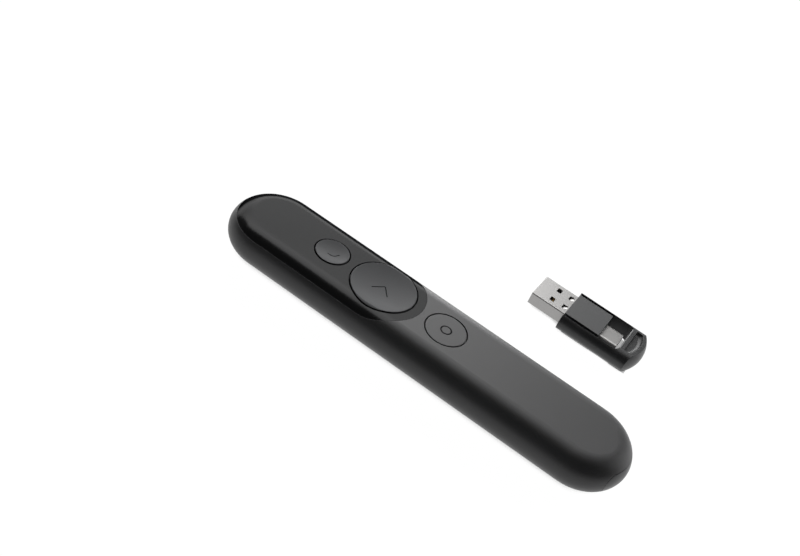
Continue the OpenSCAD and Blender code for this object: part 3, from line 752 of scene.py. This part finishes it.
def screws_tree():
    """One screw at every point, each turned as its driver left it."""
    tree, given = new_tree("screws", {"Screw": "Object", "Metal": "Material", "Seed": "Int"})
    screw = add_node(tree, "GeometryNodeObjectInfo", {"Object": given.outputs["Screw"]})
    turn = add_node(tree, "FunctionNodeRandomValue", {
        0: (0, 0, 0), 1: (0, 0, math.pi / 2), "Seed": given.outputs["Seed"]}, data_type="FLOAT_VECTOR")
    placed = add_node(tree, "GeometryNodeInstanceOnPoints", {
        "Points": given.outputs["Geometry"], "Instance": screw.outputs["Geometry"],
        "Rotation": turn.outputs[0]})
    real = add_node(tree, "GeometryNodeRealizeInstances", {"Geometry": placed.outputs["Instances"]})
    plated = add_node(tree, "GeometryNodeSetMaterial", {"Geometry": real.outputs["Geometry"],
                                                        "Material": given.outputs["Metal"]})
    add_node(tree, "NodeGroupOutput", {"Geometry": plated.outputs["Geometry"]})
    return tree


class CLICKER_OT_screws(bpy.types.Operator):
    """Put real screws in the place of the plain ones"""

    bl_idname = "clicker.screws"
    bl_label = "Screws"

    def execute(self, context):
        metal = frame["nodes"]["cover_screws"].data.materials[0]
        tree = screws_tree()
        # node, places in mm, length without the tip in mm
        sets = (
            ("cover_screws", ((-53, -9.2), (-53, 9.2), (24.5, -5), (24.5, 5)), 4.9),
            ("frame_screws", ((-47.5, -8.9), (-47.5, 8.9), (11.2, -9.2), (11.2, 9.2)), 4.6),
        )
        for seed, (node, places, length) in enumerate(sets, 1):
            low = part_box(node)[0]
            start = bpy.data.meshes.new("places")
            start.from_pydata([(x * MM, y * MM, low.z) for x, y in places], [], [])
            screw = bpy.data.objects.new("screw", screw_mesh(context.scene.clicker_sizes, length))
            piece = grow(node + "_threaded", tree, start, {"Screw": screw, "Metal": metal, "Seed": seed})
            bpy.data.objects.remove(screw)
            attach(piece, "clicker")
            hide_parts(node)
        return {"FINISHED"}


# ---------- stage ----------

def background_ray(tree):
    """1 for rays that see the background (the camera's, mirrored and refracted ones), 0 for all others."""
    path = add_node(tree, "ShaderNodeLightPath")
    first = add_node(tree, "ShaderNodeMath", {0: path.outputs["Is Camera Ray"],
                                              1: path.outputs["Is Glossy Ray"]}, operation="MAXIMUM")
    both = add_node(tree, "ShaderNodeMath", {0: first.outputs["Value"],
                                             1: path.outputs["Is Transmission Ray"]}, operation="MAXIMUM")
    return both.outputs["Value"]


def make_world():
    """A white room where it is seen; matt surfaces get their light from the lamp and the floor."""
    world = bpy.data.worlds.new("studio_room")
    world.use_nodes = True
    tree = world.node_tree
    tree.nodes.clear()
    back = add_node(tree, "ShaderNodeBackground", {"Color": linear("ffffff"),
                                                   "Strength": background_ray(tree)})
    add_node(tree, "ShaderNodeOutputWorld", {"Surface": back.outputs["Background"]})
    bpy.context.scene.world = world


def in_cap_window(tree, inset=2 * MM):
    """1 on the floor under the loose cap, short of its outline by the inset, and 0 elsewhere."""
    low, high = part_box("loose_cap")
    place = add_node(tree, "ShaderNodeTexCoord")
    offset = add_node(tree, "ShaderNodeVectorMath", {0: place.outputs["Object"], 1: (low + high) / 2},
                      operation="SUBTRACT")
    share = add_node(tree, "ShaderNodeVectorMath", {
        0: offset.outputs["Vector"], 1: (high - low) / 2 - Vector((inset, inset, 0))}, operation="DIVIDE")
    size = add_node(tree, "ShaderNodeVectorMath", {0: share.outputs["Vector"]}, operation="ABSOLUTE")
    axes = add_node(tree, "ShaderNodeSeparateXYZ", {"Vector": size.outputs["Vector"]})
    far = add_node(tree, "ShaderNodeMath", {0: axes.outputs["X"], 1: axes.outputs["Y"]}, operation="MAXIMUM")
    inside = add_node(tree, "ShaderNodeMath", {0: far.outputs["Value"], 1: 1.0}, operation="LESS_THAN")
    return inside.outputs["Value"]


def floor_shade(tree):
    """How white the floor is where it is seen: 1 even in the lamp's shade, with painted shade in the gaps
    over it.
    """
    # painted shade: the floor's glow is cut where ambient occlusion finds a gap over it
    gap = add_node(tree, "ShaderNodeAmbientOcclusion", {"Distance": 5 * MM}, samples=8)
    seen = add_node(tree, "ShaderNodeMapRange", {"Value": gap.outputs["AO"], "From Min": 0.0,
                                                 "From Max": 0.22, "To Min": 0.2, "To Max": 1.0})
    # painted deeper shade: the floor at the bottom of the cap's window, a narrow well, is darkened more
    deep = add_node(tree, "ShaderNodeMapRange", {"Value": gap.outputs["AO"], "From Min": 0.1,
                                                 "From Max": 0.85, "To Min": 0.1, "To Max": 1.0})
    shade = add_node(tree, "ShaderNodeMix", {0: in_cap_window(tree), 2: seen.outputs["Result"],
                                             3: deep.outputs["Result"]})
    return shade.outputs[0]


def make_floor(size=20.0, aside=7.0):
    """A white floor that keeps a faint shadow and painted shade in gaps. From below it is clear, so that the
    underside can be seen.
    """
    # off centre, so that the seam between its two triangles passes far from the object
    mesh = bpy.data.meshes.new("floor")
    mesh.from_pydata([(aside - size, -size, 0), (aside + size, -size, 0), (aside + size, size, 0),
                      (aside - size, size, 0)], [], [(0, 1, 2, 3)])
    floor = bpy.data.objects.new("floor", mesh)
    floor.location.z = CAD_BOX[0].z - 0.02 * MM
    bpy.context.collection.objects.link(floor)
    material = bpy.data.materials.new("white_sweep")
    material.use_nodes = True
    tree = material.node_tree
    tree.nodes.clear()
    # a lit opal sheet: it glows white where it is seen, and by about half as much onto matt surfaces
    matt = add_node(tree, "ShaderNodeBsdfDiffuse", {"Color": (0.06, 0.06, 0.06, 1.0)})
    glow = add_node(tree, "ShaderNodeMix", {0: background_ray(tree), 2: 0.54, 3: floor_shade(tree)})
    panel = add_node(tree, "ShaderNodeEmission", {"Color": linear("ffffff"), "Strength": glow.outputs[0]})
    lit = add_node(tree, "ShaderNodeAddShader", {0: matt.outputs["BSDF"], 1: panel.outputs["Emission"]})
    clear = add_node(tree, "ShaderNodeBsdfTransparent")
    side = add_node(tree, "ShaderNodeNewGeometry")
    both = add_node(tree, "ShaderNodeMixShader", {0: side.outputs["Backfacing"], 1: lit.outputs["Shader"],
                                                  2: clear.outputs["BSDF"]})
    add_node(tree, "ShaderNodeOutputMaterial", {"Surface": both.outputs["Shader"]})
    mesh.materials.append(material)


def direction(azimuth, elevation):
    """Unit vector; azimuth in degrees from +Y towards -X, elevation in degrees above the floor."""
    azimuth, elevation = math.radians(azimuth), math.radians(elevation)
    return Vector((-math.sin(azimuth) * math.cos(elevation), math.cos(azimuth) * math.cos(elevation),
                   math.sin(elevation)))


def make_key(stage, azimuth=0, elevation=20, width=2.0, height=0.72, distance=1.0):
    """The large soft lamp behind the clicker, low over the floor. It lights matt surfaces only."""
    data = bpy.data.lights.new("key", "AREA")
    data.shape = "RECTANGLE"
    data.size, data.size_y = width, height
    data.energy = stage.key * math.pi * width * height
    toward = direction(azimuth, elevation)
    lamp = bpy.data.objects.new("key", data)
    lamp.matrix_world = Matrix.LocRotScale(toward * distance, toward.to_track_quat("Z", "Y"), None)
    bpy.context.collection.objects.link(lamp)
    lamp.visible_camera = lamp.visible_glossy = lamp.visible_transmission = False


def make_screen(name, radius, azimuths, elevations, radiance, facet=5):
    """Part of a dome, radius in metres, between two azimuths and two elevations. Only gloss mirrors it."""
    start, end = azimuths
    foot, top = elevations
    across, up = max(2, round((end - start) / facet)), max(2, round((top - foot) / facet))
    points = [direction(start + (end - start) * i / across, foot + (top - foot) * j / up) * radius
              for i in range(across + 1) for j in range(up + 1)]
    faces = [(k, k + 1, k + up + 2, k + up + 1)
             for i in range(across) for k in range(i * (up + 1), i * (up + 1) + up)]
    mesh = bpy.data.meshes.new(name)
    mesh.from_pydata(points, [], faces)
    screen = bpy.data.objects.new(name, mesh)
    material = bpy.data.materials.new(name + "_cloth")
    material.use_nodes = True
    tree = material.node_tree
    tree.nodes.clear()
    cloth = add_node(tree, "ShaderNodeEmission", {"Color": linear("ffffff"), "Strength": radiance})
    add_node(tree, "ShaderNodeOutputMaterial", {"Surface": cloth.outputs["Emission"]})
    mesh.materials.append(material)
    bpy.context.collection.objects.link(screen)
    screen.visible_camera = screen.visible_diffuse = False
    screen.visible_shadow = screen.visible_transmission = False


def make_screens(stage, fade=14):
    """A white scrim behind, brightest at its foot, a wing, a roof and a card, inside a tent of black felt."""
    # the scrim's foot fades upwards in bands, by a factor e every so many degrees
    edges = (0, 4, 8, 13, 19, 27, 38, 90)
    for band, (low, high) in enumerate(zip(edges, edges[1:])):
        share = fade / (high - low) * (math.exp(-low / fade) - math.exp(-high / fade))
        make_screen(f"scrim_{band}", 1.0, (7.5, 42), (low, high), stage.scrim + stage.scrim_foot * share)
    make_screen("wing", 1.0, (42, 80), (0, 46), stage.scrim)
    make_screen("roof", 1.02, (-10, 95), (45, 90), stage.scrim)
    make_screen("card", 1.0, (-70, -30), (0, 40), stage.card)
    make_screen("tent", 1.5, (0, 360), (0, 90), stage.tent)


def make_camera(stage):
    """Three-quarter view from above, rolled so that the clicker runs from top left to bottom right."""
    turn = (Matrix.Rotation(stage.heading, 4, "Z") @ Matrix.Rotation(math.pi / 2 - stage.tilt, 4, "X")
            @ Matrix.Rotation(stage.roll, 4, "Z"))
    back = turn.to_3x3() @ Vector((0, 0, 1))
    data = bpy.data.cameras.new("camera")
    data.sensor_width = 36.0
    data.lens = stage.lens
    data.clip_start = 0.01
    data.clip_end = 200.0
    camera = bpy.data.objects.new("camera", data)
    camera.matrix_world = Matrix.Translation(Vector(stage.aim) + back * stage.distance) @ turn
    bpy.context.collection.objects.link(camera)
    bpy.context.scene.camera = camera


class CLICKER_OT_stage(bpy.types.Operator):
    """Set up the floor, the room, the lamp, the cloths and the camera"""

    bl_idname = "clicker.stage"
    bl_label = "Stage"

    def execute(self, context):
        stage = context.scene.clicker_stage
        context.scene.view_settings.view_transform = "Standard"
        make_world()
        make_floor()
        make_key(stage)
        make_screens(stage)
        make_camera(stage)
        return {"FINISHED"}


class CLICKER_PT_panel(bpy.types.Panel):
    """Sizes, colours and steps of the clicker"""

    bl_idname = "CLICKER_PT_panel"
    bl_label = "Presentation clicker"
    bl_space_type = "VIEW_3D"
    bl_region_type = "UI"
    bl_category = "Clicker"

    def draw(self, context):
        for holder in GROUPS:
            group = getattr(context.scene, holder)
            box = self.layout.box()
            for name in group.__annotations__:
                box.prop(group, name)
        for operator in OPERATORS:
            self.layout.operator(operator.bl_idname)


GROUPS = {"clicker_colours": ClickerColours, "clicker_sizes": ClickerSizes, "clicker_stage": ClickerStage}
OPERATORS = (CLICKER_OT_finishes, CLICKER_OT_marks, CLICKER_OT_domes, CLICKER_OT_screws, CLICKER_OT_stage)


def register():
    for cls in (*GROUPS.values(), *OPERATORS, CLICKER_PT_panel):
        bpy.utils.register_class(cls)
    for name, group in GROUPS.items():
        setattr(bpy.types.Scene, name, bpy.props.PointerProperty(type=group))


def unregister():
    for name in GROUPS:
        delattr(bpy.types.Scene, name)
    for cls in reversed((*GROUPS.values(), *OPERATORS, CLICKER_PT_panel)):
        bpy.utils.unregister_class(cls)


def main():
    register()
    bpy.ops.clicker.finishes()
    bpy.ops.clicker.marks()
    bpy.ops.clicker.domes()
    bpy.ops.clicker.screws()
    bpy.ops.clicker.stage()
    bpy.context.view_layer.update()


if __name__ == "__main__":
    main()
